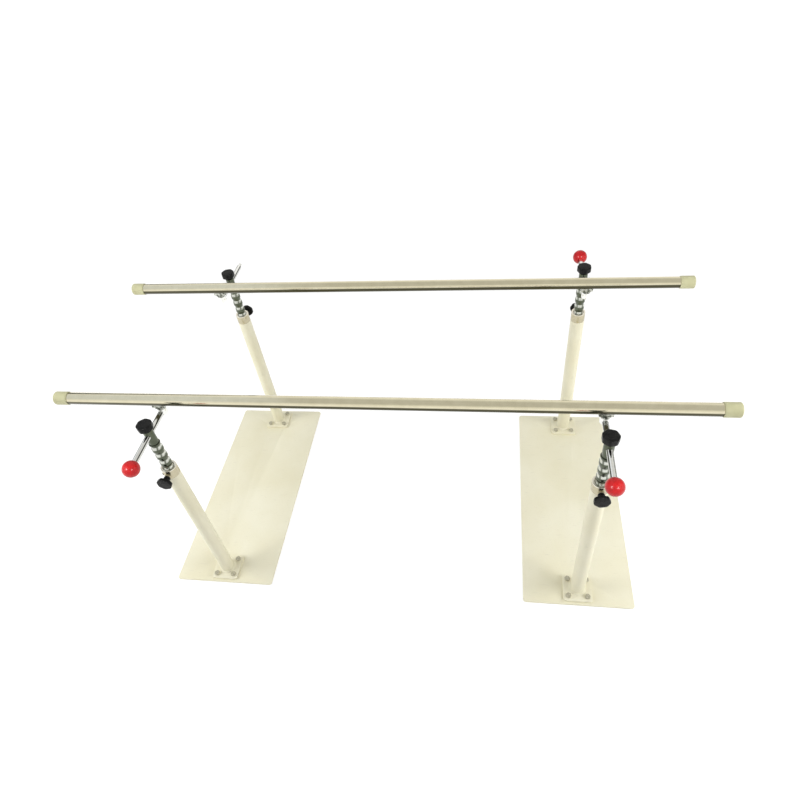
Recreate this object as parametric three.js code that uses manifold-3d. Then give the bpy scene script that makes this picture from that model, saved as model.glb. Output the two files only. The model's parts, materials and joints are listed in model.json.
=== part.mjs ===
// Rehab walking parallel bars: two round handrails on four telescoping columns, on two floor plates.
// Millimetres. +X runs along the rails, +Y crosses the lane from the near rail to the far rail, +Z is up.
// The origin is on the floor, in the middle of the lane.
import * as THREE from 'three';
import { mergeVertices } from 'three/addons/utils/BufferGeometryUtils.js';
import Module from 'manifold-3d';

// Overall layout
const railLength = 2000; // over both end caps
const railHeight = 842; // rail axis above the floor
const rodReach = 101; // from a mast's axis to the rail's axis, across the lane
const columnSpacing = 1320; // between the left and right columns
const columnHeight = 646; // floor to the rim of the guide collar

// Clearances
const seatGap = 0.3; // between a piece and the piece that it seats on
const slideGap = 0.6; // radial, round a mast or rod that slides
const turnGap = 0.6; // radial, round a screw or pin that turns
const cutOverrun = 5; // how far a cut runs past the face that it opens

// Facets round a full circle
const wideSides = 16; // posts, collars, rails and caps
const mastSides = 14; // masts and the heads on them
const rodSides = 14;
const gripSides = 12;
const smallSides = 10; // knob screws, pins, washers and their holes
const boltSides = 8; // bolt shanks and their holes

// Base plates
const plateWidth = 380; // along the rails
const plateLength = 900; // across the lane
const plateThickness = 6;
const plateCornerRadius = 10;

// Posts: a tube welded to a square flange
const postDiameter = 50;
const postWall = 2.5;
const flangeSize = 100;
const flangeInset = 10; // from the flange's edge to the plate's end
const flangeThickness = 8;
const flangeCornerRadius = 10;
const weldLeg = 5;
const weldSink = 1; // how deep the tube's foot stands in the flange

// Flange bolts, with a washer under each hexagon head
const boltSpacing = 65;
const boltDiameter = 10;
const boltHeadWidth = 17; // across flats
const boltHeadHeight = 6.4;
const boltTipRise = 0.6; // bolt tip above the underside of the plate
const washerDiameter = 21;
const washerThickness = 2;
const boltHoleGap = 0.6; // radial

// Guide collars at the posts' mouths
const collarRingHeight = 36;
const collarSleeveLength = 36;
const collarChamfer = 1.2;
const bossDiameter = 20;
const bossReach = 4; // past the post's surface
const lockDrop = 24; // lock screw axis below the rim

// Masts: ring-grooved tubes that slide in the collars
const mastDiameter = 35;
const mastBore = 24;
const mastLength = 388;
const groovePitch = 32;
const grooveWidth = 18;
const grooveDepth = 2.6;
const plainTop = 10; // least length above the highest groove's middle
const plainFoot = 90; // least length below the lowest groove's middle
const footBandDiameter = 43.4; // guides the mast's lower end in the post
const footBandHeight = 16;
const footBandTaper = 4;

// Clamp heads on the masts
const rodDrop = 45; // rod axis below the rail axis
const headDiameter = 30;
const headAboveRod = 20;
const headBelowRod = 36;
const headChamfer = 1.5;
const spigotLength = 24;
const spigotGap = 0.6; // radial, in the mast's bore

// Width rods, with an eye at the rail and a stud for the ball grip
const rodDiameter = 18;
const eyeDiameter = 28;
const eyeHeight = 22;
const pivotDiameter = 11.6;
const gripStudDiameter = 12;
const gripStudLength = 18;

// Ball grips
const gripDiameter = 50;
const gripReach = 130; // ball centre to mast axis
const gripFlatDepth = 2; // height of the cap that the seat takes off the ball
const gripBoreDepth = 19;
const gripBoreGap = 0.5; // radial
const gripRings = 6;

// Star knobs
const knobDiameter = 48;
const clampStarHeight = 20;
const lockStarHeight = 12;
const knobLobes = 7;
const pointsPerLobe = 3;
const knobFluteDepth = 2.2;
const knobEdge = 3; // chamfer round the star
const knobStud = 10;
const hubDiameter = 24;
const clampHubHeight = 5;
const lockHubHeight = 16;
const knobStandoff = 2; // hub to the face that the stud enters
const joinDepth = 1; // how far joined solids run into each other

// Rails, end caps and rail brackets
const railDiameter = 38;
const railWall = 1.5;
const capDiameter = 42;
const capLength = 46;
const capEnd = 4;
const capLipTaper = 0.7;
const capLipLength = 4;
const capRound = 4;
const bracketLength = 40; // along the rail
const bracketWidth = 24; // across the rail
const bracketWaist = 24; // along the rail, where the saddle meets its boss
const bracketBossHeight = 6;
const bracketCheek = 10; // height of the saddle's upright end, measured down from its edge

// Finishes
const creamPaint = new THREE.MeshStandardMaterial({ color: 0xebe6cc, roughness: 0.5, metalness: 0 });
const capPlastic = new THREE.MeshStandardMaterial({ color: 0xcfcfb0, roughness: 0.55, metalness: 0 });
const knobPlastic = new THREE.MeshStandardMaterial({ color: 0x121212, roughness: 0.4, metalness: 0 });
const gripPlastic = new THREE.MeshStandardMaterial({ color: 0xc4241f, roughness: 0.25, metalness: 0 });
const chrome = new THREE.MeshStandardMaterial({ color: 0xb9bcb4, roughness: 0.15, metalness: 1 });
const railSteel = new THREE.MeshStandardMaterial({ color: 0xc8c4b2, roughness: 0.2, metalness: 1 });
const zincSteel = new THREE.MeshStandardMaterial({ color: 0xaeb0a8, roughness: 0.35, metalness: 1 });

// Radii, gauges and heights that follow from the sizes above
const railRadius = railDiameter / 2;
const mastRadius = mastDiameter / 2;
const postRadius = postDiameter / 2;
const rodRadius = rodDiameter / 2;
const gripRadius = gripDiameter / 2;
const columnGauge = plateLength - flangeSize - 2 * flangeInset;
const railGauge = columnGauge - 2 * rodReach;
const rodHeight = railHeight - rodDrop;
const mastTop = rodHeight - headBelowRod;
const mastBottom = mastTop - mastLength;
const postTop = columnHeight - collarRingHeight;
const lockHeight = columnHeight - lockDrop;
const gripSeat = gripRadius - gripFlatDepth;
const bossEnd = postRadius + bossReach;
const eyeTop = eyeHeight / 2;
const capInner = capLength - capEnd;

const wasm = await Module();
wasm.setup();

// A closed three.js geometry as a solid that can be joined and cut.
function solid(geometry) {
  const bare = geometry.clone();
  bare.deleteAttribute('normal');
  bare.deleteAttribute('uv');
  const merged = mergeVertices(bare);
  const corners = merged.index.array;
  const kept = [];
  for (let i = 0; i < corners.length; i += 3) {
    const [a, b, c] = [corners[i], corners[i + 1], corners[i + 2]];
    if (a !== b && b !== c && c !== a) kept.push(a, b, c);
  }
  return new wasm.Manifold(new wasm.Mesh({
    numProp: 3,
    vertProperties: merged.attributes.position.array,
    triVerts: new Uint32Array(kept),
  }));
}

function geometryOf(body) {
  const { vertProperties, triVerts } = body.getMesh();
  const geometry = new THREE.BufferGeometry();
  geometry.setAttribute('position', new THREE.BufferAttribute(vertProperties, 3));
  geometry.setIndex(new THREE.BufferAttribute(triVerts, 1));
  geometry.computeVertexNormals();
  return geometry;
}

// A profile of [radius, height] points turned about +Z.
function revolve(profile, sides) {
  const points = profile.map(([radius, height]) => new THREE.Vector2(radius, height));
  return new THREE.LatheGeometry(points, sides).rotateX(Math.PI / 2);
}

// A ring profile that closes on itself.
function revolveRing(profile, sides) {
  return revolve([...profile, profile[0]], sides);
}

function extrude(shape, depth) {
  return new THREE.ExtrudeGeometry(shape, { depth, bevelEnabled: false, curveSegments: 2 });
}

function circlePoints(x, y, radius, sides) {
  const points = [];
  for (let i = 0; i < sides; i += 1) {
    const angle = (2 * Math.PI * i) / sides;
    points.push(new THREE.Vector2(x + radius * Math.cos(angle), y + radius * Math.sin(angle)));
  }
  return points;
}

function cylinder(radius, low, high, sides) {
  return extrude(new THREE.Shape(circlePoints(0, 0, radius, sides)), high - low).translate(0, 0, low);
}

// Turns what was made along +Z to point outward from the lane, along the column's own -Y.
function outward(geometry) {
  return geometry.rotateX(Math.PI / 2);
}

function roundedRectangle(width, height, radius) {
  const [x, y] = [width / 2, height / 2];
  const shape = new THREE.Shape();
  shape.moveTo(radius - x, -y);
  shape.absarc(x - radius, radius - y, radius, -Math.PI / 2, 0);
  shape.absarc(x - radius, y - radius, radius, 0, Math.PI / 2);
  shape.absarc(radius - x, y - radius, radius, Math.PI / 2, Math.PI);
  shape.absarc(radius - x, radius - y, radius, Math.PI, 1.5 * Math.PI);
  return shape;
}

function boltHoles(shape, centreY) {
  const offset = boltSpacing / 2;
  const radius = boltDiameter / 2 + boltHoleGap;
  for (const x of [-offset, offset]) {
    for (const y of [-offset, offset]) {
      shape.holes.push(new THREE.Path(circlePoints(x, centreY + y, radius, boltSides)));
    }
  }
}

// Flat plate with the bolt holes for both flanges.
function basePlate() {
  const outline = roundedRectangle(plateWidth, plateLength, plateCornerRadius);
  for (const side of [-1, 1]) boltHoles(outline, (side * columnGauge) / 2);
  return solid(extrude(outline, plateThickness));
}

// Tube with a fillet weld on a drilled flange, open at the top.
function post() {
  const outline = roundedRectangle(flangeSize, flangeSize, flangeCornerRadius);
  boltHoles(outline, 0);
  const inner = postRadius - postWall;
  const foot = flangeThickness - weldSink;
  const top = postTop - plateThickness;
  const tube = revolveRing([
    [inner, foot],
    [postRadius + weldLeg, foot],
    [postRadius + weldLeg, flangeThickness],
    [postRadius, flangeThickness + weldLeg],
    [postRadius, top],
    [inner, top],
  ], wideSides);
  return solid(extrude(outline, flangeThickness)).add(solid(tube));
}

// Hexagon head, washer and shank in one piece, from the washer's underside.
function flangeBolt() {
  const headRadius = boltHeadWidth / Math.sqrt(3);
  const headTop = washerThickness + boltHeadHeight;
  const shankLength = flangeThickness + plateThickness - boltTipRise;
  const head = cylinder(headRadius, joinDepth, headTop, 6);
  const washer = cylinder(washerDiameter / 2, 0, washerThickness, smallSides);
  const shank = cylinder(boltDiameter / 2, -shankLength, joinDepth, boltSides);
  return solid(washer).add(solid(head)).add(solid(shank));
}

// Ring that caps the post, with its guide sleeve inside the tube and a drilled boss for the lock screw.
function guideCollar() {
  const bore = mastRadius + slideGap;
  const sleeve = postRadius - postWall - seatGap;
  const ring = solid(revolveRing([
    [bore, -collarSleeveLength],
    [sleeve, -collarSleeveLength],
    [sleeve, 0],
    [postRadius, 0],
    [postRadius, collarRingHeight - collarChamfer],
    [postRadius - collarChamfer, collarRingHeight],
    [bore, collarRingHeight],
  ], wideSides));
  const level = lockHeight - postTop;
  const boss = solid(outward(cylinder(bossDiameter / 2, sleeve, bossEnd, smallSides)).translate(0, 0, level));
  const holeRadius = knobStud / 2 + turnGap;
  const hole = solid(outward(cylinder(holeRadius, 0, bossEnd + cutOverrun, smallSides)).translate(0, 0, level));
  return ring.add(boss).subtract(hole);
}

// Groove heights on the mast, one of them level with the lock screw.
function grooveLevels() {
  const above = Math.floor((mastTop - plainTop - lockHeight) / groovePitch);
  const below = Math.floor((lockHeight - mastBottom - plainFoot) / groovePitch);
  const levels = [];
  for (let i = -below; i <= above; i += 1) levels.push(lockHeight - mastBottom + i * groovePitch);
  return levels;
}

// Tube with turned ring grooves and a guide band round its foot.
function mast() {
  const halfGroove = grooveWidth / 2;
  const band = footBandDiameter / 2;
  const profile = [
    [mastBore / 2, 0],
    [band, 0],
    [band, footBandHeight],
    [mastRadius, footBandHeight + footBandTaper],
  ];
  for (const level of grooveLevels()) {
    profile.push([mastRadius, level - halfGroove]);
    profile.push([mastRadius - grooveDepth, level]);
    profile.push([mastRadius, level + halfGroove]);
  }
  profile.push([mastRadius, mastLength]);
  profile.push([mastBore / 2, mastLength]);
  return solid(revolveRing(profile, mastSides));
}

// Cylinder on the mast's top, cross-bored for the rod and drilled from above for the clamp stud.
function clampHead() {
  const spigot = mastBore / 2 - spigotGap;
  const outer = headDiameter / 2;
  const body = solid(revolve([
    [0, -headBelowRod - spigotLength],
    [spigot, -headBelowRod - spigotLength],
    [spigot, -headBelowRod],
    [outer, -headBelowRod],
    [outer, headAboveRod - headChamfer],
    [outer - headChamfer, headAboveRod],
    [0, headAboveRod],
  ], mastSides));
  const past = outer + cutOverrun;
  const crossBore = solid(outward(cylinder(rodRadius + slideGap, -past, past, rodSides)));
  const studHole = solid(cylinder(knobStud / 2 + turnGap, 0, headAboveRod + cutOverrun, smallSides));
  return body.subtract(crossBore).subtract(studHole);
}

// Round bar through the head. Its eye sits under the rail and its stud takes the ball grip.
function widthRod() {
  const eye = solid(cylinder(eyeDiameter / 2, -eyeTop, eyeTop, wideSides).translate(0, rodReach, 0));
  const pinHole = solid(
    cylinder(pivotDiameter / 2 + turnGap, -eyeTop - cutOverrun, eyeTop + cutOverrun, smallSides)
      .translate(0, rodReach, 0),
  );
  const shoulder = gripReach - gripSeat - seatGap;
  const tip = shoulder + gripStudLength;
  const stud = gripStudDiameter / 2;
  const bar = solid(outward(revolve([
    [0, -rodReach],
    [rodRadius, -rodReach],
    [rodRadius, shoulder],
    [stud, shoulder],
    [stud, tip],
    [0, tip],
  ], rodSides)));
  return bar.add(eye).subtract(pinHole);
}

// Ball with a flat seat and a blind bore for the rod's stud.
function ballGrip() {
  const bore = gripStudDiameter / 2 + gripBoreGap;
  const boreEnd = gripBoreDepth - gripSeat;
  const profile = [[0, boreEnd], [bore, boreEnd], [bore, -gripSeat]];
  const start = -Math.asin(gripSeat / gripRadius);
  for (let i = 0; i < gripRings; i += 1) {
    const angle = start + ((Math.PI / 2 - start) * i) / gripRings;
    profile.push([gripRadius * Math.cos(angle), gripRadius * Math.sin(angle)]);
  }
  profile.push([0, gripRadius]);
  return solid(outward(revolve(profile, gripSides)));
}

function starOutline() {
  const points = [];
  const steps = knobLobes * pointsPerLobe;
  for (let i = 0; i < steps; i += 1) {
    const angle = (2 * Math.PI * i) / steps;
    const flute = (knobFluteDepth * (1 - Math.cos(knobLobes * angle))) / 2;
    const radius = knobDiameter / 2 - flute;
    points.push(new THREE.Vector2(radius * Math.cos(angle), radius * Math.sin(angle)));
  }
  return new THREE.Shape(points);
}

// Star knob with its hub and stud, from the stud's tip upward.
function starKnob(studLength, hubHeight, starHeight) {
  const star = new THREE.ExtrudeGeometry(starOutline(), {
    depth: starHeight - 2 * knobEdge,
    bevelThickness: knobEdge,
    bevelSize: knobEdge,
    bevelOffset: -knobEdge,
    bevelSegments: 1,
  });
  const starLow = studLength + hubHeight;
  star.translate(0, 0, starLow + knobEdge);
  const hub = cylinder(hubDiameter / 2, studLength, starLow + joinDepth, smallSides);
  const stud = cylinder(knobStud / 2, 0, studLength + joinDepth, smallSides);
  return solid(star).add(solid(hub)).add(solid(stud));
}

function clampKnob() {
  return starKnob(headAboveRod - rodRadius - seatGap + knobStandoff, clampHubHeight, clampStarHeight);
}

function lockKnob() {
  return starKnob(bossEnd - mastRadius - slideGap + knobStandoff, lockHubHeight, lockStarHeight);
}

function rail() {
  const half = railLength / 2 - capEnd - seatGap;
  const inner = railRadius - railWall;
  const tube = revolveRing([[inner, -half], [railRadius, -half], [railRadius, half], [inner, half]], wideSides);
  return solid(tube.rotateY(Math.PI / 2));
}

// Cap that slips over the rail's end, from its open lip to its closed end.
function railCap() {
  const bore = railRadius + seatGap;
  const outer = capDiameter / 2;
  return solid(revolve([
    [0, capInner],
    [bore, capInner],
    [bore, 0],
    [outer - capLipTaper, 0],
    [outer, capLipLength],
    [outer, capLength - capRound],
    [outer - capRound, capLength],
    [0, capLength],
  ], wideSides).rotateY(Math.PI / 2));
}

// Saddle under the rail, with a boss that rests on the rod's eye and a pin that turns in it.
// Its own origin is on the rod axis, under the rail axis.
function railBracket() {
  const edge = rodDrop;
  const foot = eyeTop + bracketBossHeight;
  const [x, waist] = [bracketLength / 2, bracketWaist / 2];
  const shoulder = rodDrop - railRadius - seatGap - bracketCheek / 2;
  const side = new THREE.Shape();
  side.moveTo(-waist, foot - joinDepth);
  side.lineTo(waist, foot - joinDepth);
  side.quadraticCurveTo(waist, shoulder, x, shoulder);
  side.lineTo(x, edge);
  side.lineTo(-x, edge);
  side.lineTo(-x, shoulder);
  side.quadraticCurveTo(-waist, shoulder, -waist, foot - joinDepth);
  const block = extrude(side, bracketWidth).translate(0, 0, -bracketWidth / 2).rotateX(Math.PI / 2);
  const railSpace = revolve([
    [0, -bracketLength],
    [railRadius + seatGap, -bracketLength],
    [railRadius + seatGap, bracketLength],
    [0, bracketLength],
  ], wideSides).rotateY(Math.PI / 2).translate(0, 0, rodDrop);
  const boss = cylinder(eyeDiameter / 2, eyeTop, foot, wideSides);
  const pin = cylinder(pivotDiameter / 2, -eyeTop, eyeTop + joinDepth, smallSides);
  return solid(block).subtract(solid(railSpace)).add(solid(boss)).add(solid(pin));
}

function piece(name, geometry, material, x, y, z) {
  const mesh = new THREE.Mesh(geometry, material);
  mesh.name = name;
  mesh.position.set(x, y, z);
  return mesh;
}

const shapes = Object.fromEntries(Object.entries({
  basePlate,
  post,
  flangeBolt,
  guideCollar,
  mast,
  clampHead,
  widthRod,
  ballGrip,
  clampKnob,
  lockKnob,
  rail,
  railCap,
  railBracket,
}).map(([name, make]) => [name, geometryOf(make())]));

// The columns, seen from the near side of the lane. The far left rod has no ball grip.
const columns = [
  { name: 'near_left', along: -1, across: -1, grip: true },
  { name: 'near_right', along: 1, across: -1, grip: true },
  { name: 'far_left', along: -1, across: 1, grip: false },
  { name: 'far_right', along: 1, across: 1, grip: true },
];

// One column in its own frame: the mast's axis is +Z and the lane lies towards +Y.
function buildColumn({ name, grip }) {
  const column = new THREE.Group();
  const clampStudTip = rodHeight + rodRadius + seatGap;
  const lock = piece(`${name}_lock_knob`, shapes.lockKnob, knobPlastic, 0, -mastRadius - slideGap, lockHeight);
  lock.rotation.x = Math.PI / 2;
  column.add(
    piece(`${name}_post`, shapes.post, creamPaint, 0, 0, plateThickness),
    piece(`${name}_guide_collar`, shapes.guideCollar, zincSteel, 0, 0, postTop),
    piece(`${name}_mast`, shapes.mast, chrome, 0, 0, mastBottom),
    piece(`${name}_clamp_head`, shapes.clampHead, chrome, 0, 0, rodHeight),
    piece(`${name}_width_rod`, shapes.widthRod, chrome, 0, 0, rodHeight),
    piece(`${name}_rail_bracket`, shapes.railBracket, chrome, 0, rodReach, rodHeight),
    piece(`${name}_clamp_knob`, shapes.clampKnob, knobPlastic, 0, 0, clampStudTip),
    lock,
  );
  if (grip) column.add(piece(`${name}_ball_grip`, shapes.ballGrip, gripPlastic, 0, -gripReach, rodHeight));
  const washerLevel = plateThickness + flangeThickness;
  const offset = boltSpacing / 2;
  [[-1, -1], [1, -1], [1, 1], [-1, 1]].forEach(([x, y], index) => {
    const bolt = `${name}_flange_bolt_${index + 1}`;
    column.add(piece(bolt, shapes.flangeBolt, zincSteel, x * offset, y * offset, washerLevel));
  });
  return column;
}

const bars = new THREE.Group();

for (const column of columns) {
  const group = buildColumn(column);
  group.position.set((column.along * columnSpacing) / 2, (column.across * columnGauge) / 2, 0);
  group.rotation.z = column.across < 0 ? 0 : Math.PI;
  bars.add(group);
}

for (const [side, along] of [['left', -1], ['right', 1]]) {
  bars.add(piece(`base_plate_${side}`, shapes.basePlate, creamPaint, (along * columnSpacing) / 2, 0, 0));
}

for (const [row, across] of [['near', -1], ['far', 1]]) {
  const y = (across * railGauge) / 2;
  bars.add(piece(`${row}_rail`, shapes.rail, railSteel, 0, y, railHeight));
  for (const [side, along] of [['left', -1], ['right', 1]]) {
    const lip = along * (railLength / 2 - capLength);
    const cap = piece(`${row}_rail_cap_${side}`, shapes.railCap, capPlastic, lip, y, railHeight);
    cap.rotation.z = along < 0 ? Math.PI : 0;
    bars.add(cap);
  }
}

export default bars;
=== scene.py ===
# Rehab walking parallel bars: the finished look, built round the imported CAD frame
import json
import math

import bmesh
import bpy
from mathutils import Matrix, Vector

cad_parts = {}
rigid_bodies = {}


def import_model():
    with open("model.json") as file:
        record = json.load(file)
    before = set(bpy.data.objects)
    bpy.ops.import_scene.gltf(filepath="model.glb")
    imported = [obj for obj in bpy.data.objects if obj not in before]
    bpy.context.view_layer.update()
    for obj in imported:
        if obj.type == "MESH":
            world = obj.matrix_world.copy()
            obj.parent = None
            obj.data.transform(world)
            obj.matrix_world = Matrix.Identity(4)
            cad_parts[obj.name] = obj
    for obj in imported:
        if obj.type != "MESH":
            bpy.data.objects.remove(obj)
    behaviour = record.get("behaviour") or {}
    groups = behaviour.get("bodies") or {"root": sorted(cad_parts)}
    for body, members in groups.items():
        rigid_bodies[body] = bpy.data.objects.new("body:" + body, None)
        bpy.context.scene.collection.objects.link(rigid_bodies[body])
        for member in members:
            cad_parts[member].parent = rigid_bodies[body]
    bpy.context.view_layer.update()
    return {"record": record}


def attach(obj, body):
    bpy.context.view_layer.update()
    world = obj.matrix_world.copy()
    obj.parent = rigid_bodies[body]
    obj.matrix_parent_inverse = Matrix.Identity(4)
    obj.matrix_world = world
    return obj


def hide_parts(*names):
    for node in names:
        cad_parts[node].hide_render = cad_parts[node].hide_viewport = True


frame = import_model()

record = frame["record"]
node_body = {node: body for body, nodes in record["behaviour"]["bodies"].items() for node in nodes}

# Sizes are in millimetres. Down to the heading that says otherwise, they are the CAD model's own.
MM = 0.001

# Overall layout
RAIL_LENGTH = 2000  # over both end caps
RAIL_HEIGHT = 842  # rail axis above the floor
ROD_REACH = 101  # from a mast's axis to the rail's axis, across the lane
COLUMN_SPACING = 1320  # between the left and right columns
COLUMN_HEIGHT = 646  # floor to the rim of the guide collar

# Clearances
SEAT_GAP = 0.3  # between a piece and the piece that it seats on
SLIDE_GAP = 0.6  # radial, round a mast or rod that slides
TURN_GAP = 0.6  # radial, round a screw or pin that turns
CUT_OVERRUN = 5  # how far a cut runs past the face that it opens
JOIN_DEPTH = 1  # how far joined shapes run into each other

# Base plates
PLATE_WIDTH = 380  # along the rails
PLATE_LENGTH = 900  # across the lane
PLATE_THICKNESS = 6
PLATE_CORNER = 10

# Posts: a tube welded to a square flange
POST_RADIUS = 25
POST_WALL = 2.5
FLANGE_SIZE = 100
FLANGE_INSET = 10  # from the flange's edge to the plate's end
FLANGE_THICKNESS = 8
FLANGE_CORNER = 10
WELD_LEG = 5

# Flange bolts, with a washer under each hexagon head
BOLT_SPACING = 65
BOLT_RADIUS = 5
BOLT_HEAD_WIDTH = 17  # across flats
BOLT_HEAD_HEIGHT = 6.4
BOLT_TIP_RISE = 0.6  # above the underside of the plate
BOLT_HOLE_RADIUS = 5.6
WASHER_RADIUS = 10.5
WASHER_THICKNESS = 2

# Guide collars at the posts' mouths
COLLAR_RING = 36  # height above the post
COLLAR_SLEEVE = 36  # depth in the post
BOSS_RADIUS = 10
BOSS_REACH = 4  # past the post's surface
LOCK_DROP = 24  # lock screw axis below the rim

# Masts: ring-grooved tubes that slide in the collars
MAST_RADIUS = 17.5
MAST_BORE_RADIUS = 12
MAST_LENGTH = 388
GROOVE_PITCH = 32
GROOVE_WIDTH = 18
GROOVE_DEPTH = 2.6
GROOVES_EACH_WAY = 4  # above and below the groove that is level with the lock screw
FOOT_BAND_RADIUS = 21.7
FOOT_BAND_HEIGHT = 16
FOOT_BAND_TAPER = 4

# Clamp heads on the masts
HEAD_RADIUS = 15
ROD_DROP = 45  # rod axis below the rail axis
HEAD_ABOVE = 20  # above the rod axis
HEAD_BELOW = 36  # below the rod axis
SPIGOT_RADIUS = 11.4
SPIGOT_LENGTH = 24

# Width rods, with an eye at the rail and a stud for the ball grip
ROD_RADIUS = 9
EYE_RADIUS = 14
EYE_TOP = 11  # above the rod axis
PIN_RADIUS = 5.8
GRIP_STUD_RADIUS = 6
GRIP_STUD_LENGTH = 18

# Ball grips
GRIP_RADIUS = 25
GRIP_REACH = 130  # ball centre to mast axis
GRIP_SEAT = 23  # ball centre to its flat seat
GRIP_BORE_DEPTH = 19
GRIP_BORE_GAP = 0.5  # radial

# Star knobs
KNOB_RADIUS = 24
CLAMP_STAR = 20  # height of the clamp knob's star
LOCK_STAR = 12  # height of the lock knob's star
KNOB_LOBES = 7
STUD_RADIUS = 5
HUB_RADIUS = 12
CLAMP_HUB = 5
LOCK_HUB = 16
STANDOFF = 2  # hub to the face that the stud enters

# Rails, end caps and rail brackets
RAIL_RADIUS = 19
RAIL_WALL = 1.5
CAP_RADIUS = 21
CAP_LENGTH = 46
CAP_END = 4
CAP_LIP_TAPER = 0.7
CAP_LIP_LENGTH = 4
CAP_ROUND = 4
BRACKET_LENGTH = 40  # along the rail
BRACKET_WIDTH = 24  # across the rail
BRACKET_WAIST = 24  # along the rail, where the saddle meets its boss
BRACKET_BOSS = 6  # height of the boss
BRACKET_CHEEK = 10  # height of the saddle's upright end

# Sizes and places that follow from these
COLUMN_GAUGE = PLATE_LENGTH - FLANGE_SIZE - 2 * FLANGE_INSET
RAIL_GAUGE = COLUMN_GAUGE - 2 * ROD_REACH
ROD_HEIGHT = RAIL_HEIGHT - ROD_DROP
POST_TOP = COLUMN_HEIGHT - COLLAR_RING
LOCK_HEIGHT = COLUMN_HEIGHT - LOCK_DROP
MAST_BOTTOM = ROD_HEIGHT - HEAD_BELOW - MAST_LENGTH
SLEEVE_RADIUS = POST_RADIUS - POST_WALL - SEAT_GAP
CLAMP_STUD = HEAD_ABOVE - ROD_RADIUS - SEAT_GAP + STANDOFF
LOCK_STUD = POST_RADIUS + BOSS_REACH - MAST_RADIUS - SLIDE_GAP + STANDOFF

# Sizes that differ from the CAD model's: rounder knobs, and a boss that clears the turning eye
KNOB_FLUTE = 1.3
BEARING_GAP = 0.15

# The sizes from here on are details that only the scene has

# Edge roundings
PLATE_EDGE = 0.8
FLANGE_EDGE = 1.6
POST_MOUTH_EDGE = 0.6
BOLT_FACE_EDGE = 0.3
WASHER_EDGE = 0.4
SHANK_EDGE = 0.5
SLEEVE_EDGE = 0.4
COLLAR_SEAT_EDGE = 0.5
COLLAR_RIM_EDGE = 1.2
COLLAR_BORE_EDGE = 1.0
BOSS_EDGE = 0.8
MAST_EDGE = 0.5
FOOT_BAND_EDGE = 0.8
MAST_TOP_EDGE = 1.8
SPIGOT_EDGE = 1
HEAD_FOOT_EDGE = 0.5
HEAD_TOP_EDGE = 1.5
ROD_EDGE = 1
EYE_EDGE = 1.0
GRIP_STUD_EDGE = 1.2
RAIL_BORE_EDGE = 0.3
RAIL_EDGE = 0.5
CAP_BORE_EDGE = 0.4
CAP_LIP_EDGE = 0.6
CAP_LIP_ROUND = 2
BRACKET_EDGE = 1.2
PIN_EDGE = 0.8
BUTTON_SIDE_EDGE = 0.6
BUTTON_CROWN_EDGE = 0.8
SOCKET_EDGE = 0.2

# Straight lengths beside a rounded end
POST_MOUTH_LENGTH = 20
FOOT_BAND_PLAIN = 10
MAST_TOP_PLAIN = 2.5
MAST_BORE_PLAIN = 8

# Weld beads
WELD_BULGE = 1.0
WELD_RIPPLES = 22
WELD_RIPPLE_HEIGHT = 0.45
WELD_RIPPLE_LEVEL = 0.6  # share of the wave that stands above the bead's own surface
WELD_RIPPLE_LEAN = 0.5  # radians for each millimetre of height
WELD_MARGIN = 0.3  # beside the tube
WELD_FOOT_MARGIN = 0.2  # above the flange

# Chamfer of the bolts' heads
HEAD_CHAMFER_DROP = 1.6
HEAD_CHAMFER_FACE = 0.94  # of the width across flats

# Underside and edges of the star knobs
HUB_FOOT_EDGE = 0.6
HUB_FOOT_TAPER = 1.5
HUB_FILLET = 0.6
HUB_FILLET_RISE = 0.5
STAR_UNDER_INSET = 5
STAR_UNDER_ROUND = 2
STAR_UNDER_RISE = 0.1
STAR_TOP_ROUND = 2.8

# Top face of the star knobs: how far it lies below its middle, and a turned ring in it
STAR_TOP_FALL = 0.6
STAR_DOME_INSET, STAR_DOME_FALL, STAR_DOME_ROUNDNESS = 6, 0.35, 0.3
RING_OUTER, RING_FLOOR_OUTER, RING_FLOOR_INNER, RING_INNER = 12.6, 12, 11.2, 10.6
RING_RIM_FALL, RING_DEPTH = 0.1, 0.5

# Screw threads
THREAD_PITCH = 1.5
THREAD_DEPTH = 0.8
TIP_INSET = 0.9  # how much slimmer than the screw its tip is
TIP_LENGTH = 0.6

# Button-head screws on the collars
BUTTON_RADIUS, BUTTON_CROWN_RADIUS, SOCKET_RADIUS = 3.6, 2.6, 1.3
BUTTON_SINK, BUTTON_SIDE, BUTTON_CROWN, BUTTON_TOP = 1.2, 1.0, 2.0, 2.1
SOCKET_FLOOR, SOCKET_TAPER = 1.1, 0.1
BUTTON_ANGLE = math.radians(50)  # from the lock knob's side
BUTTON_RISE = 14  # above the post

# Turns of the four bolts in a flange, in degrees
BOLT_FIRST_TURN = 17
BOLT_TURN_STEP = 23

# How finely round shapes are divided
FINE = 96
ROUND = 64
SMALL = 32
WELD_SIDES = 176
WELD_STEPS = 8
CORNER_STEPS = 10
LOBE_SIDES = 16
THREAD_SIDES = 24
THREAD_STEPS = 8  # for each pitch
GROOVE_STEPS = 16
BALL_STEPS = 40
FLARE_STEPS = 12
UNDER_STEPS, TOP_STEPS = 5, 7
SHARP = math.radians(32)  # edges turned more than this are shaded as edges
TINY = 1e-6


# Mesh helpers

def new_object(name, vertices, faces):
    mesh = bpy.data.meshes.new(name)
    mesh.from_pydata(vertices, [], faces)
    bm = bmesh.new()
    bm.from_mesh(mesh)
    bmesh.ops.recalc_face_normals(bm, faces=bm.faces)
    bm.to_mesh(mesh)
    bm.free()
    piece = bpy.data.objects.new(name, mesh)
    bpy.context.scene.collection.objects.link(piece)
    return piece


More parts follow.
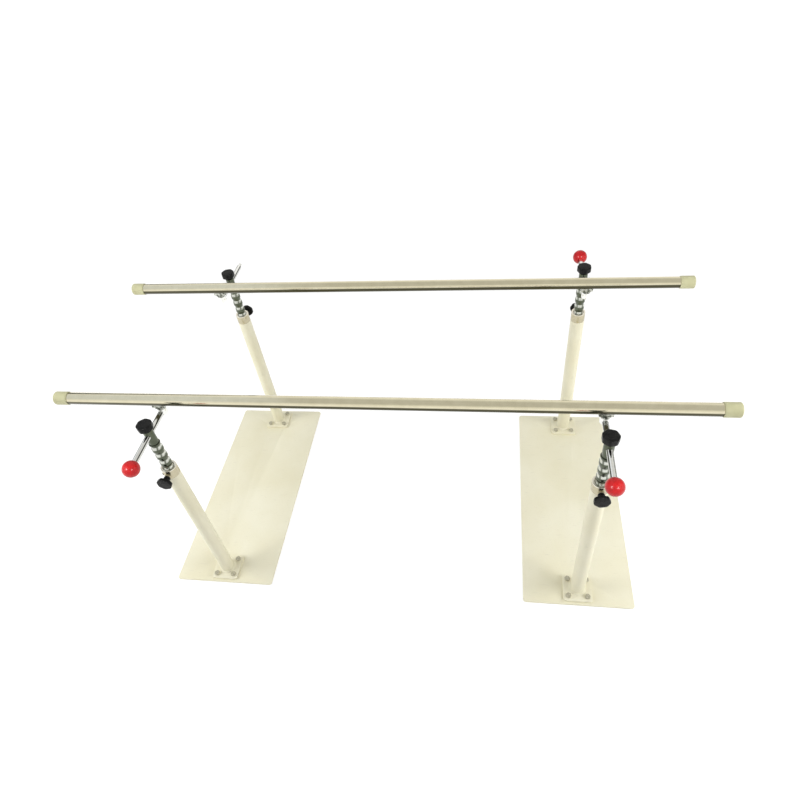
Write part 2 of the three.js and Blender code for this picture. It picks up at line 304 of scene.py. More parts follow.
def rounded(corners, steps=5, closed=False):
    """Corners (radius, height, round) as a smooth outline of (radius, height) points."""
    path = []
    last = len(corners) - 1
    for i, corner in enumerate(corners):
        here = Vector(corner[:2])
        size = corner[2] if len(corner) > 2 else 0
        if not size or (not closed and i in (0, last)):
            path.append(tuple(here))
            continue
        back = (Vector(corners[i - 1][:2]) - here).normalized()
        ahead = (Vector(corners[(i + 1) % len(corners)][:2]) - here).normalized()
        half = back.angle(ahead) / 2
        centre = here + (back + ahead).normalized() * (size / math.sin(half))
        start = here + back * (size / math.tan(half)) - centre
        end = here + ahead * (size / math.tan(half)) - centre
        sweep = math.atan2(start.x * end.y - start.y * end.x, start.dot(end))
        for k in range(steps + 1):
            point = centre + Matrix.Rotation(sweep * k / steps, 2) @ start
            path.append(tuple(point))
    return path


def circle(radius, height, sides):
    """A ring of points about Z. Where the radius is nothing, it is one point."""
    if radius < TINY:
        return [(0, 0, height)]
    angles = [math.tau * i / sides for i in range(sides)]
    return [(radius * math.cos(angle), radius * math.sin(angle), height) for angle in angles]


def skin(name, rings, sides, closed=False):
    """A surface from ring to ring. A ring has a point for each side, or one point where the surface ends."""
    vertices, faces, numbered = [], [], []
    for ring in rings:
        first = len(vertices)
        vertices += ring
        numbered.append([first] * sides if len(ring) == 1 else list(range(first, first + sides)))
    followers = numbered[1:] + (numbered[:1] if closed else [])
    for low, high in zip(numbered, followers):
        for i in range(sides):
            j = (i + 1) % sides
            corners = [low[i], low[j], high[j], high[i]]
            face = [corner for k, corner in enumerate(corners) if corner not in corners[:k]]
            if len(face) > 2:
                faces.append(face)
    return new_object(name, vertices, faces)


def lathe(name, profile, sides=ROUND, closed=False):
    """A profile of (radius, height) points turned about Z."""
    return skin(name, [circle(radius, height, sides) for radius, height in profile], sides, closed)


def rod_between(name, radius, low, high, sides=ROUND, edge=0.0):
    profile = rounded([(0, low), (radius, low, edge), (radius, high, edge), (0, high)], steps=3)
    return lathe(name, profile, sides)


def slab(name, outline, low, high):
    """A flat outline of (x, y) points with upright sides."""
    count = len(outline)
    vertices = [(x, y, low) for x, y in outline] + [(x, y, high) for x, y in outline]
    faces = [list(range(count - 1, -1, -1)), list(range(count, 2 * count))]
    for i in range(count):
        j = (i + 1) % count
        faces.append([i, j, count + j, count + i])
    return new_object(name, vertices, faces)


def rounded_rectangle(width, height, radius):
    points = []
    for quarter, (sx, sy) in enumerate([(1, 1), (-1, 1), (-1, -1), (1, -1)]):
        for k in range(CORNER_STEPS + 1):
            angle = math.pi / 2 * (quarter + k / CORNER_STEPS)
            x = sx * (width / 2 - radius) + radius * math.cos(angle)
            y = sy * (height / 2 - radius) + radius * math.sin(angle)
            points.append((x, y))
    return points


def moved(piece, matrix):
    """Moves a piece's mesh inside its own space."""
    piece.data.transform(matrix)
    return piece


def shifted(piece, x, y, z):
    return moved(piece, Matrix.Translation((x, y, z)))


def along_y(piece):
    return moved(piece, Matrix.Rotation(-math.pi / 2, 4, "X"))


def along_x(piece):
    return moved(piece, Matrix.Rotation(math.pi / 2, 4, "Y"))


def apply_modifiers(piece):
    graph = bpy.context.evaluated_depsgraph_get()
    mesh = bpy.data.meshes.new_from_object(piece.evaluated_get(graph))
    piece.modifiers.clear()
    piece.data = mesh
    return piece


def combine(piece, others, operation):
    """Joins, cuts or intersects a piece with others, which are used up."""
    for other in others:
        cut = piece.modifiers.new("combine", "BOOLEAN")
        cut.object = other
        cut.operation = operation
        cut.solver = "EXACT"
        apply_modifiers(piece)
        bpy.data.objects.remove(other)
    return piece


def soften(piece, width, angle=40):
    """Rounds the edges that turn by more than an angle in degrees."""
    edge = piece.modifiers.new("edge", "BEVEL")
    edge.width = width
    edge.segments = 3
    edge.limit_method = "ANGLE"
    edge.angle_limit = math.radians(angle)
    edge.miter_outer = "MITER_ARC"
    return apply_modifiers(piece)


def finish_mesh(piece, material):
    """Takes a piece's mesh from millimetres to metres and gives it its shading and material."""
    mesh = piece.data
    mesh.transform(Matrix.Scale(MM, 4))
    mesh.shade_smooth()
    mesh.set_sharp_from_angle(angle=SHARP)
    mesh.materials.clear()
    mesh.materials.append(material)
    bpy.data.objects.remove(piece)
    return mesh


# Materials

class Nodes:
    """A node tree, with short ways to add to it. Values are numbers, colours or other nodes' sockets."""

    def __init__(self, tree):
        self.tree = tree

    def node(self, kind, **inputs):
        made = self.tree.nodes.new(kind)
        for name, value in inputs.items():
            self.feed(made.inputs[name.replace("_", " ")], value)
        return made

    def feed(self, socket, value):
        if isinstance(value, bpy.types.NodeSocket):
            self.tree.links.new(value, socket)
        else:
            socket.default_value = value

    def fade(self, value, low, high, start=0.0, end=1.0):
        """A number that runs from start to end while value goes from low to high."""
        made = self.node("ShaderNodeMapRange", Value=value)
        for name, number in (("From Min", low), ("From Max", high), ("To Min", start), ("To Max", end)):
            made.inputs[name].default_value = number
        return made.outputs["Result"]

    def maths(self, operation, a, b=0.0):
        made = self.node("ShaderNodeMath")
        made.operation = operation
        self.feed(made.inputs[0], a)
        self.feed(made.inputs[1], b)
        return made.outputs["Value"]

    def product(self, result, *others):
        for other in others:
            result = self.maths("MULTIPLY", result, other)
        return result

    def size_of(self, value):
        return self.maths("ABSOLUTE", value)

    def distance(self, value, centre):
        return self.size_of(self.maths("SUBTRACT", value, centre))

    def blend(self, share, a, b):
        """Colour a where share is 0, and colour b where it is 1."""
        made = self.node("ShaderNodeMix")
        made.data_type = "RGBA"
        colour_inputs = [socket for socket in made.inputs if socket.type == "RGBA"]
        self.feed(made.inputs[0], share)
        self.feed(colour_inputs[0], rgba(a))
        self.feed(colour_inputs[1], rgba(b))
        return [socket for socket in made.outputs if socket.type == "RGBA"][0]

    def part_of(self, vector, axis):
        return self.node("ShaderNodeSeparateXYZ", Vector=vector).outputs[axis]


def rgba(colour):
    return (*colour, 1.0) if isinstance(colour, tuple) and len(colour) == 3 else colour


class Look(Nodes):
    """A Principled material whose colour, roughness and bump come from nodes in the piece's own space."""

    def __init__(self, name, **constants):
        self.material = bpy.data.materials.new(name)
        self.material.use_nodes = True
        super().__init__(self.material.node_tree)
        self.shader = self.tree.nodes["Principled BSDF"]
        for socket, value in constants.items():
            self.shader.inputs[socket.replace("_", " ")].default_value = value
        self.place = self.node("ShaderNodeTexCoord").outputs["Object"]

    def noise(self, scale, detail=3, stretch=(1, 1, 1)):
        where = self.node("ShaderNodeMapping", Vector=self.place, Scale=stretch)
        return self.node("ShaderNodeTexNoise", Vector=where.outputs["Vector"], Scale=scale, Detail=detail,
                         Roughness=0.55).outputs["Fac"]

    def clouds(self, scale, detail=3, low=0.35, high=0.65):
        """Soft patches, from 0 to 1."""
        return self.fade(self.noise(scale, detail), low, high)

    def marks(self, scale, low, high, most, detail=3, stretch=(1, 1, 1)):
        """Scattered small marks, from 0 to most."""
        return self.fade(self.noise(scale, detail, stretch), low, high, 0.0, most)

    def along(self, axis):
        """The place on the piece along one of its own axes, in metres."""
        return self.part_of(self.place, axis)

    def sideways(self, radius):
        """How far to the side of a round bar, as a share of its radius in millimetres."""
        return self.maths("DIVIDE", self.size_of(self.along("X")), radius * MM)

    def colour(self, value):
        self.feed(self.shader.inputs["Base Color"], value)

    def roughness(self, value):
        self.feed(self.shader.inputs["Roughness"], value)

    def uneven_gloss(self, scale, smooth, rough, detail=3):
        self.roughness(self.fade(self.noise(scale, detail), 0.35, 0.65, smooth, rough))

    def bump(self, value, depth, strength):
        made = self.node("ShaderNodeBump", Strength=strength, Distance=depth, Height=value)
        self.feed(self.shader.inputs["Normal"], made.outputs["Normal"])


def cream_paint():
    look = Look("cream_paint", Specular_IOR_Level=0.45)
    clouds = look.clouds(scale=3.2, detail=4, low=0.36, high=0.64)
    specks = look.marks(scale=240, detail=2, low=0.62, high=0.72, most=0.35)
    scuffs = look.marks(scale=26, detail=5, low=0.63, high=0.70, most=0.30, stretch=(1, 6, 1))
    tone = look.blend(clouds, (0.775, 0.735, 0.545), (0.83, 0.80, 0.635))
    tone = look.blend(specks, tone, (0.70, 0.655, 0.47))
    look.colour(look.blend(scuffs, tone, (0.62, 0.59, 0.47)))
    look.uneven_gloss(scale=11, detail=4, smooth=0.36, rough=0.50)
    look.bump(look.noise(620, 2), depth=0.0004, strength=0.35)
    return look.material


def cap_plastic():
    look = Look("cap_plastic", Specular_IOR_Level=0.4)
    marks = look.marks(scale=130, low=0.60, high=0.72, most=0.4, stretch=(1, 1, 0.2))
    tone = look.blend(look.clouds(scale=24), (0.495, 0.48, 0.285), (0.565, 0.555, 0.345))
    look.colour(look.blend(marks, tone, (0.40, 0.385, 0.235)))
    look.uneven_gloss(scale=60, smooth=0.42, rough=0.58)
    look.bump(look.noise(900, 2), depth=0.0003, strength=0.4)
    return look.material


def knob_plastic():
    look = Look("knob_plastic", Specular_IOR_Level=0.14)
    dust = look.marks(scale=320, low=0.60, high=0.76, most=0.2)
    tone = look.blend(look.clouds(scale=70), (0.003, 0.003, 0.003), (0.008, 0.008, 0.0075))
    look.colour(look.blend(dust, tone, (0.03, 0.028, 0.024)))
    look.uneven_gloss(scale=150, smooth=0.24, rough=0.40)
    look.bump(look.noise(1500, 2), depth=0.0002, strength=0.5)
    return look.material


def grip_plastic():
    look = Look("grip_plastic", Coat_Weight=0.3, Coat_Roughness=0.12, Specular_IOR_Level=0.2)
    rubs = look.marks(scale=160, detail=4, low=0.60, high=0.72, most=0.25, stretch=(1, 1, 4))
    tone = look.blend(look.clouds(scale=45), (0.31, 0.003, 0.005), (0.41, 0.007, 0.008))
    look.colour(look.blend(rubs, tone, (0.25, 0.010, 0.010)))
    look.uneven_gloss(scale=90, smooth=0.28, rough=0.40)
    look.bump(look.noise(500, 2), depth=0.0002, strength=0.12)
    return look.material


SCRATCH_SHADE = 0.72


def bright_metal(name, dark, light, smooth, rough, grain=(1, 1, 1), grain_scale=300):
    """Plated or polished metal with a cloudy tone, fine scratches along its grain and uneven gloss."""
    look = Look(name, Metallic=1.0)
    scratches = look.noise(grain_scale, 3, grain)
    scratch_tone = tuple(SCRATCH_SHADE * part for part in dark)
    tone = look.blend(look.clouds(scale=30, detail=4, low=0.32, high=0.68), dark, light)
    look.tone = look.blend(look.fade(scratches, 0.60, 0.72, 0.0, 0.35), tone, scratch_tone)
    look.colour(look.tone)
    gloss = look.fade(look.noise(80), 0.3, 0.7, smooth, rough)
    look.roughness(look.maths("ADD", gloss, look.fade(scratches, 0.5, 0.75, 0.0, 0.08)))
    look.bump(scratches, depth=0.00012, strength=0.25)
    return look


# Painted highlight bands in the masts' turned grooves, in millimetres
GLINT_DROP = 5  # from a groove's middle down to the band's
GLINT_CORE = 3  # from the band's middle to where it begins to fade
GLINT_REACH = 6.5  # from the band's middle to where it ends

# Pitches past the outermost grooves' middles, from where the painted bands fade to where none is left
BANDS_FADE, BANDS_END = 0.4, 0.45

# Painted dark reflection lines along round bars, as shares of the radius: how far sideways, half as wide, and
# faded out
MAST_LINE, MAST_LINE_CORE, MAST_LINE_REACH = 0.53, 0.05, 0.20
ROD_LINE, ROD_LINE_CORE, ROD_LINE_REACH = 0.84, 0.07, 0.17
MAST_LINE_SHINE = 0.12  # what a mast's line leaves of the bright band
# Where a mast's painted highlight fades out towards its sides, as shares of the radius, and what it leaves of
# it
MAST_EDGE_FADE, MAST_EDGE_END, MAST_EDGE_SHINE = 0.90, 0.99, 0.2
EYE_MARGIN = 3  # from the eye to where a rod's lines are full, in millimetres

# Where a rail's painted dark reflection begins and where it is full, as shares of its radius below its middle
UNDERSIDE_START, UNDERSIDE_FULL = -0.26, -0.08

# Where a collar's painted side shade gives way to its bright top, in millimetres below its rim
RIM_END, RIM_FADE = 2, 3.5


def mast_chrome():
    """Plated tube whose dark tone is a painted dark reflection, with painted highlight bands in its turned
    grooves, by the height along the mast.
    """
    look = bright_metal("mast_chrome", (0.085, 0.098, 0.068), (0.125, 0.14, 0.10), smooth=0.14, rough=0.24,
                        grain=(1, 1, 0.15), grain_scale=500)
    above_lock = look.maths("SUBTRACT", look.along("Z"), (LOCK_HEIGHT - MAST_BOTTOM) * MM)
    level = look.maths("DIVIDE", above_lock, GROOVE_PITCH * MM)
    phase = look.maths("FRACT", look.maths("ADD", level, 0.5))
    away = look.distance(phase, 0.5 - GLINT_DROP / GROOVE_PITCH)
    band = look.fade(away, GLINT_CORE / GROOVE_PITCH, GLINT_REACH / GROOVE_PITCH, 1.0, 0.0)
    below_top = look.fade(level, GROOVES_EACH_WAY + BANDS_FADE, GROOVES_EACH_WAY + BANDS_END, 1.0, 0.0)
    above_foot = look.fade(level, -GROOVES_EACH_WAY - BANDS_END, -GROOVES_EACH_WAY - BANDS_FADE)
    # Painted dark reflection lines break the painted bands, which also fade towards the tube's sides
    sideways = look.sideways(MAST_RADIUS)
    from_painted_line = look.distance(sideways, MAST_LINE)
    painted_line_dimming = look.fade(from_painted_line, MAST_LINE_CORE, MAST_LINE_REACH, MAST_LINE_SHINE, 1.0)
    painted_edge_fade = look.fade(sideways, MAST_EDGE_FADE, MAST_EDGE_END, 1.0, MAST_EDGE_SHINE)
    # Colour of the painted highlight bands
    turned = look.blend(look.noise(900, 2, (0.1, 0.1, 1)), (0.55, 0.57, 0.51), (0.76, 0.77, 0.71))
    bright = look.product(band, below_top, above_foot, painted_line_dimming, painted_edge_fade)
    look.colour(look.blend(bright, look.tone, turned))
    return look.material


def rail_steel():
    """Polished tube with a painted dark reflection along its underside. Its own X points down."""
    look = bright_metal("rail_steel", (0.735, 0.68, 0.49), (0.80, 0.745, 0.55), smooth=0.10, rough=0.18,
                        grain=(1, 1, 0.02), grain_scale=700)
    # Painted dark reflection along the underside, as of a dark floor below
    under = look.fade(look.along("X"), UNDERSIDE_START * RAIL_RADIUS * MM, UNDERSIDE_FULL * RAIL_RADIUS * MM)
    shade = look.blend(look.noise(60, 3, (1, 1, 0.1)), (0.05, 0.047, 0.026), (0.09, 0.084, 0.05))
    look.colour(look.blend(under, look.tone, shade))
    return look.material


def rod_chrome():
    """Plated bar with a painted dark reflection line along each side. Its own Z is its axis, and the eye at
    its end is plain.
    """
    look = bright_metal("chrome", (0.88, 0.885, 0.85), (0.95, 0.95, 0.92), smooth=0.06, rough=0.14)
    # Painted dark reflection lines along both sides of the bar
    from_painted_line = look.distance(look.sideways(ROD_RADIUS), ROD_LINE)
    line = look.fade(from_painted_line, ROD_LINE_CORE, ROD_LINE_REACH, 1.0, 0.0)
    eye_end = EYE_RADIUS - ROD_REACH
    past_eye = look.fade(look.along("Z"), eye_end * MM, (eye_end + EYE_MARGIN) * MM)
    look.colour(look.blend(look.product(line, past_eye), look.tone, (0.13, 0.135, 0.115)))
    return look.material


def bracket_chrome():
    """Plated casting, with dark patches painted on as reflections."""
    look = bright_metal("bracket_chrome", (0.42, 0.43, 0.38), (0.66, 0.66, 0.61), smooth=0.10, rough=0.2)
    # Dark patches painted on as reflections
    patches = look.clouds(scale=95, detail=2, low=0.44, high=0.56)
    look.colour(look.blend(patches, look.tone, (0.12, 0.13, 0.105)))
    return look.material


def collar_steel():
    """Machined ring with painted shade on its side, below its bright top edge."""
    look = bright_metal("collar_steel", (0.86, 0.82, 0.70), (0.94, 0.90, 0.79), smooth=0.22, rough=0.34)
    # Painted shade on the ring's side, fading out just below the rim
    side = look.fade(look.along("Z"), (COLLAR_RING - RIM_FADE) * MM, (COLLAR_RING - RIM_END) * MM, 1.0, 0.0)
    painted_side_shade = look.blend(look.noise(70, 3, (1, 1, 0.3)), (0.50, 0.45, 0.31), (0.60, 0.55, 0.40))
    look.colour(look.blend(side, look.tone, painted_side_shade))
    return look.material


def bolt_steel():
    """Dull plated steel, paler on the washer than on the head above it."""
    look = Look("bolt_steel", Metallic=0.15, Specular_IOR_Level=0.5)
    marks = look.marks(scale=420, low=0.60, high=0.70, most=0.5)
    head = look.blend(look.clouds(scale=140), (0.36, 0.34, 0.25), (0.56, 0.53, 0.41))
    above_washer = look.fade(look.along("Z"), WASHER_THICKNESS * MM, (WASHER_THICKNESS + 1) * MM)
    tone = look.blend(above_washer, (0.74, 0.71, 0.56), head)
    look.colour(look.blend(marks, tone, (0.30, 0.28, 0.21)))
    look.uneven_gloss(scale=200, smooth=0.24, rough=0.38)
    look.bump(look.noise(900, 2), depth=0.0001, strength=0.3)
    return look.material


def screw_steel():
    look = bright_metal("screw_steel", (0.06, 0.035, 0.022), (0.11, 0.065, 0.04), smooth=0.25, rough=0.4,
                        grain_scale=900)
    return look.material


LOOKS = {
    "cream_paint": cream_paint(),
    "cap_plastic": cap_plastic(),
    "knob_plastic": knob_plastic(),
    "grip_plastic": grip_plastic(),
    "chrome": rod_chrome(),
    "bracket_chrome": bracket_chrome(),
    "mast_chrome": mast_chrome(),
    "rail_steel": rail_steel(),
    "collar_steel": collar_steel(),
    "bolt_steel": bolt_steel(),
    "screw_steel": screw_steel(),
}


# Shapes, in millimetres. A rounded outline's points are (radius, height, edge rounding).

def bolt_holes(centre_y, depth):
    half = BOLT_SPACING / 2
    holes = []
    for x in (-half, half):
        for y in (-half, half):
            hole = rod_between("hole", BOLT_HOLE_RADIUS, -CUT_OVERRUN, depth + CUT_OVERRUN, SMALL)
            holes.append(shifted(hole, x, centre_y + y, 0))
    return holes


def base_plate():
    outline = rounded_rectangle(PLATE_WIDTH, PLATE_LENGTH, PLATE_CORNER)
    plate = slab("base_plate", outline, 0, PLATE_THICKNESS)
    for side in (-1, 1):
        combine(plate, bolt_holes(side * COLUMN_GAUGE / 2, PLATE_THICKNESS), "DIFFERENCE")
    return soften(plate, PLATE_EDGE)


def weld_profile():
    """A convex fillet bead from the flange up to the tube."""
    points = []
    for k in range(WELD_STEPS + 1):
        t = k / WELD_STEPS
        bulge = WELD_BULGE * math.sin(math.pi * t) / math.sqrt(2)
        points.append((POST_RADIUS + WELD_LEG * (1 - t) + bulge, FLANGE_THICKNESS + WELD_LEG * t + bulge))
    return points


def ripple_weld(tube):
    """Gives the bead round the tube's foot the waves of a hand-laid weld."""
    for vertex in tube.data.vertices:
        radius = math.hypot(vertex.co.x, vertex.co.y)
        rise = vertex.co.z - FLANGE_THICKNESS
        if radius > POST_RADIUS + WELD_MARGIN and WELD_FOOT_MARGIN < rise < WELD_LEG:
            angle = math.atan2(vertex.co.y, vertex.co.x)
            crest = abs(math.sin(WELD_RIPPLES * angle + WELD_RIPPLE_LEAN * rise))
            wave = WELD_RIPPLE_HEIGHT * (crest - WELD_RIPPLE_LEVEL)
            vertex.co.x *= 1 + wave / radius
            vertex.co.y *= 1 + wave / radius
            vertex.co.z += wave
    return tube


def post():
    outline = rounded_rectangle(FLANGE_SIZE, FLANGE_SIZE, FLANGE_CORNER)
    flange = slab("post", outline, 0, FLANGE_THICKNESS)
    soften(combine(flange, bolt_holes(0, FLANGE_THICKNESS), "DIFFERENCE"), FLANGE_EDGE)
    inner = POST_RADIUS - POST_WALL
    foot = FLANGE_THICKNESS - JOIN_DEPTH
    top = POST_TOP - PLATE_THICKNESS
    below_mouth = top - POST_MOUTH_LENGTH
    mouth = [(POST_RADIUS, below_mouth), (POST_RADIUS, top, POST_MOUTH_EDGE), (inner, top, POST_MOUTH_EDGE),
             (inner, below_mouth)]
    profile = [(inner, foot), (POST_RADIUS + WELD_LEG, foot), *weld_profile(), *rounded(mouth)]
    tube = ripple_weld(lathe("tube", profile, WELD_SIDES, closed=True))
    return combine(flange, [tube], "UNION")


def flange_bolt():
    """Chamfered hexagon head, washer and shank in one. Its own origin is on the washer's underside."""
    head_top = WASHER_THICKNESS + BOLT_HEAD_HEIGHT
    middle = WASHER_THICKNESS / 2
    corner = BOLT_HEAD_WIDTH / math.sqrt(3)
    hexagon = [(x, y) for x, y, _ in circle(corner, 0, 6)]
    head = slab("flange_bolt", hexagon, middle, head_top)
    face = HEAD_CHAMFER_FACE * BOLT_HEAD_WIDTH / 2
    crown = rounded([(0, 0), (corner + 1, 0), (corner + 1, head_top - HEAD_CHAMFER_DROP),
                     (face, head_top, BOLT_FACE_EDGE), (0, head_top)], steps=3)
    combine(head, [lathe("crown", crown)], "INTERSECT")
    washer = rod_between("washer", WASHER_RADIUS, 0, WASHER_THICKNESS, ROUND, WASHER_EDGE)
    shank_low = BOLT_TIP_RISE - FLANGE_THICKNESS - PLATE_THICKNESS
    shank = rod_between("shank", BOLT_RADIUS, shank_low, middle, SMALL, SHANK_EDGE)
    return combine(head, [washer, shank], "UNION")


def guide_collar():
    """Ring on the post's mouth, with its sleeve in the post and a drilled boss for the lock screw."""
    bore = MAST_RADIUS + SLIDE_GAP
    profile = rounded([(bore, -COLLAR_SLEEVE, SLEEVE_EDGE), (SLEEVE_RADIUS, -COLLAR_SLEEVE, SLEEVE_EDGE),
                       (SLEEVE_RADIUS, 0), (POST_RADIUS, 0, COLLAR_SEAT_EDGE),
                       (POST_RADIUS, COLLAR_RING, COLLAR_RIM_EDGE), (bore, COLLAR_RING, COLLAR_BORE_EDGE)],
                      steps=4, closed=True)
    ring = lathe("guide_collar", profile, FINE, closed=True)
    level = LOCK_HEIGHT - POST_TOP
    boss_end = -POST_RADIUS - BOSS_REACH
    boss = along_y(rod_between("boss", BOSS_RADIUS, boss_end, -SLEEVE_RADIUS, ROUND, BOSS_EDGE))
    combine(ring, [shifted(boss, 0, 0, level)], "UNION")
    hole_end = -POST_RADIUS - 2 * CUT_OVERRUN
    hole = along_y(rod_between("hole", STUD_RADIUS + TURN_GAP, hole_end, 0, SMALL))
    return combine(ring, [shifted(hole, 0, 0, level)], "DIFFERENCE")


def groove_points(level):
    """The curve of a turned groove whose middle is at this height on the mast."""
    points = []
    for k in range(GROOVE_STEPS + 1):
        across = 2 * k / GROOVE_STEPS - 1
        depth = GROOVE_DEPTH * (1 - across * across)
        points.append((MAST_RADIUS - depth, level + across * GROOVE_WIDTH / 2))
    return points


def mast():
    """Tube with turned grooves, one of them level with the lock screw, and a guide band round its foot."""
    band_end = FOOT_BAND_HEIGHT + FOOT_BAND_TAPER
    profile = rounded([(MAST_BORE_RADIUS, 0, MAST_EDGE), (FOOT_BAND_RADIUS, 0, FOOT_BAND_EDGE),
                       (FOOT_BAND_RADIUS, FOOT_BAND_HEIGHT, MAST_EDGE), (MAST_RADIUS, band_end, MAST_EDGE),
                       (MAST_RADIUS, FOOT_BAND_HEIGHT + FOOT_BAND_PLAIN)], steps=3)
    for step in range(-GROOVES_EACH_WAY, GROOVES_EACH_WAY + 1):
        profile += groove_points(LOCK_HEIGHT - MAST_BOTTOM + step * GROOVE_PITCH)
    profile += rounded([(MAST_RADIUS, MAST_LENGTH - MAST_TOP_PLAIN),
                        (MAST_RADIUS, MAST_LENGTH, MAST_TOP_EDGE), (MAST_BORE_RADIUS, MAST_LENGTH, MAST_EDGE),
                        (MAST_BORE_RADIUS, MAST_LENGTH - MAST_BORE_PLAIN)], steps=3)
    return lathe("mast", profile, FINE, closed=True)


def clamp_head():
    """Cross-bored cylinder on the mast. Its own origin is on the rod's axis."""
    foot = -HEAD_BELOW - SPIGOT_LENGTH
    profile = rounded([(0, foot), (SPIGOT_RADIUS, foot, SPIGOT_EDGE), (SPIGOT_RADIUS, -HEAD_BELOW),
                       (HEAD_RADIUS, -HEAD_BELOW, HEAD_FOOT_EDGE), (HEAD_RADIUS, HEAD_ABOVE, HEAD_TOP_EDGE),
                       (0, HEAD_ABOVE)])
    body = lathe("clamp_head", profile, FINE)
    bore = along_y(rod_between("bore", ROD_RADIUS + SLIDE_GAP, -2 * HEAD_RADIUS, 2 * HEAD_RADIUS))
    hole = rod_between("hole", STUD_RADIUS + TURN_GAP, 0, HEAD_ABOVE + CUT_OVERRUN, SMALL)
    return combine(body, [bore, hole], "DIFFERENCE")


def width_rod():
    """Its own Z is the rod's axis, outward, and its own Y is up."""
    shoulder = GRIP_REACH - GRIP_SEAT - SEAT_GAP
    tip = shoulder + GRIP_STUD_LENGTH
    profile = rounded([(0, -ROD_REACH), (ROD_RADIUS, -ROD_REACH), (ROD_RADIUS, shoulder, ROD_EDGE),
                       (GRIP_STUD_RADIUS, shoulder), (GRIP_STUD_RADIUS, tip, GRIP_STUD_EDGE), (0, tip)],
                      steps=4)
    bar = lathe("width_rod", profile)
    eye = along_y(rod_between("eye", EYE_RADIUS, -EYE_TOP, EYE_TOP, ROUND, EYE_EDGE))
    combine(bar, [shifted(eye, 0, 0, -ROD_REACH)], "UNION")
    hole_end = EYE_TOP + CUT_OVERRUN
    hole = along_y(rod_between("hole", PIN_RADIUS + TURN_GAP, -hole_end, hole_end, SMALL))
    return combine(bar, [shifted(hole, 0, 0, -ROD_REACH)], "DIFFERENCE")


def ball_grip():
    """Ball with a flat seat and a blind bore. Its own Z points away from the rod."""
    bore = GRIP_STUD_RADIUS + GRIP_BORE_GAP
    profile = [(0, GRIP_BORE_DEPTH - GRIP_SEAT), (bore, GRIP_BORE_DEPTH - GRIP_SEAT), (bore, -GRIP_SEAT)]
    start = -math.asin(GRIP_SEAT / GRIP_RADIUS)
    for k in range(BALL_STEPS):
        angle = start + (math.pi / 2 - start) * k / BALL_STEPS
        profile.append((GRIP_RADIUS * math.cos(angle), GRIP_RADIUS * math.sin(angle)))
    profile.append((0, GRIP_RADIUS))
    return lathe("ball_grip", profile)


def star_ring(inset, height, roundness=0.0):
    """A ring of the star's lobed outline, moved in, and a share of the way to a circle."""
    full_circle = KNOB_RADIUS - inset - KNOB_FLUTE / 2
    sides = KNOB_LOBES * LOBE_SIDES
    ring = []
    for i in range(sides):
        angle = math.tau * i / sides
        star = KNOB_RADIUS - inset - KNOB_FLUTE * (1 - math.cos(KNOB_LOBES * angle)) / 2
        radius = full_circle * roundness + star * (1 - roundness)
        ring.append((radius * math.cos(angle), radius * math.sin(angle), height))
    return ring


def star_knob(hub_low, hub_height, star_height):
    """Hub and seven-lobed star in one body, with a turned ring in the star's top."""
    sides = KNOB_LOBES * LOBE_SIDES
    low = hub_low + hub_height
    high = low + star_height
    foot = HUB_RADIUS - HUB_FOOT_TAPER
    hub = [(0, hub_low), (foot - HUB_FOOT_EDGE, hub_low), (foot, hub_low + HUB_FOOT_EDGE),
           (HUB_RADIUS - HUB_FILLET, low - HUB_FILLET_RISE), (HUB_RADIUS + HUB_FILLET, low)]
    rings = [circle(radius, height, sides) for radius, height in hub]
    rings.append(star_ring(STAR_UNDER_INSET, low))
    for k in range(UNDER_STEPS + 1):
        angle = math.pi / 2 * k / UNDER_STEPS
        fall = (STAR_UNDER_ROUND - STAR_UNDER_RISE) * math.cos(angle)
        rings.append(star_ring(STAR_UNDER_ROUND * (1 - math.sin(angle)), low + STAR_UNDER_ROUND - fall))
    edge = high - STAR_TOP_FALL - STAR_TOP_ROUND
    for k in range(TOP_STEPS + 1):
        angle = math.pi / 2 * k / TOP_STEPS
        rise = STAR_TOP_ROUND * math.sin(angle)
        rings.append(star_ring(STAR_TOP_ROUND * (1 - math.cos(angle)), edge + rise))
    rings.append(star_ring(STAR_DOME_INSET, high - STAR_DOME_FALL, STAR_DOME_ROUNDNESS))
    face = [(RING_OUTER, high - RING_RIM_FALL), (RING_FLOOR_OUTER, high - RING_DEPTH),
            (RING_FLOOR_INNER, high - RING_DEPTH), (RING_INNER, high), (0, high)]
    rings += [circle(radius, height, sides) for radius, height in face]
    return skin("star_knob", rings, sides)


def knob_screw(length):
    """A screw with a real helix, from its tip to inside the hub."""
    threaded = length - TIP_LENGTH
    rows = int(threaded / THREAD_PITCH * THREAD_STEPS)
    rings = [[(0, 0, 0)]]
    for row in range(rows + 1):
        height = TIP_LENGTH + threaded * row / rows
        growth = min(1, (height - TIP_LENGTH) / THREAD_PITCH)
        ring = []
        for i in range(THREAD_SIDES):
            turns = i / THREAD_SIDES
            tooth = abs(2 * ((height / THREAD_PITCH - turns) % 1) - 1)
            radius = STUD_RADIUS - TIP_INSET * (1 - growth) - THREAD_DEPTH * tooth * growth
            ring.append((radius * math.cos(math.tau * turns), radius * math.sin(math.tau * turns), height))
        rings.append(ring)
    rings.append([(0, 0, length)])
    return skin("knob_screw", rings, THREAD_SIDES)


def rail():
    half = RAIL_LENGTH / 2 - CAP_END - SEAT_GAP
    inner = RAIL_RADIUS - RAIL_WALL
    profile = rounded([(inner, -half, RAIL_BORE_EDGE), (RAIL_RADIUS, -half, RAIL_EDGE),
                       (RAIL_RADIUS, half, RAIL_EDGE), (inner, half, RAIL_BORE_EDGE)], steps=3, closed=True)
    return lathe("rail", profile, FINE, closed=True)


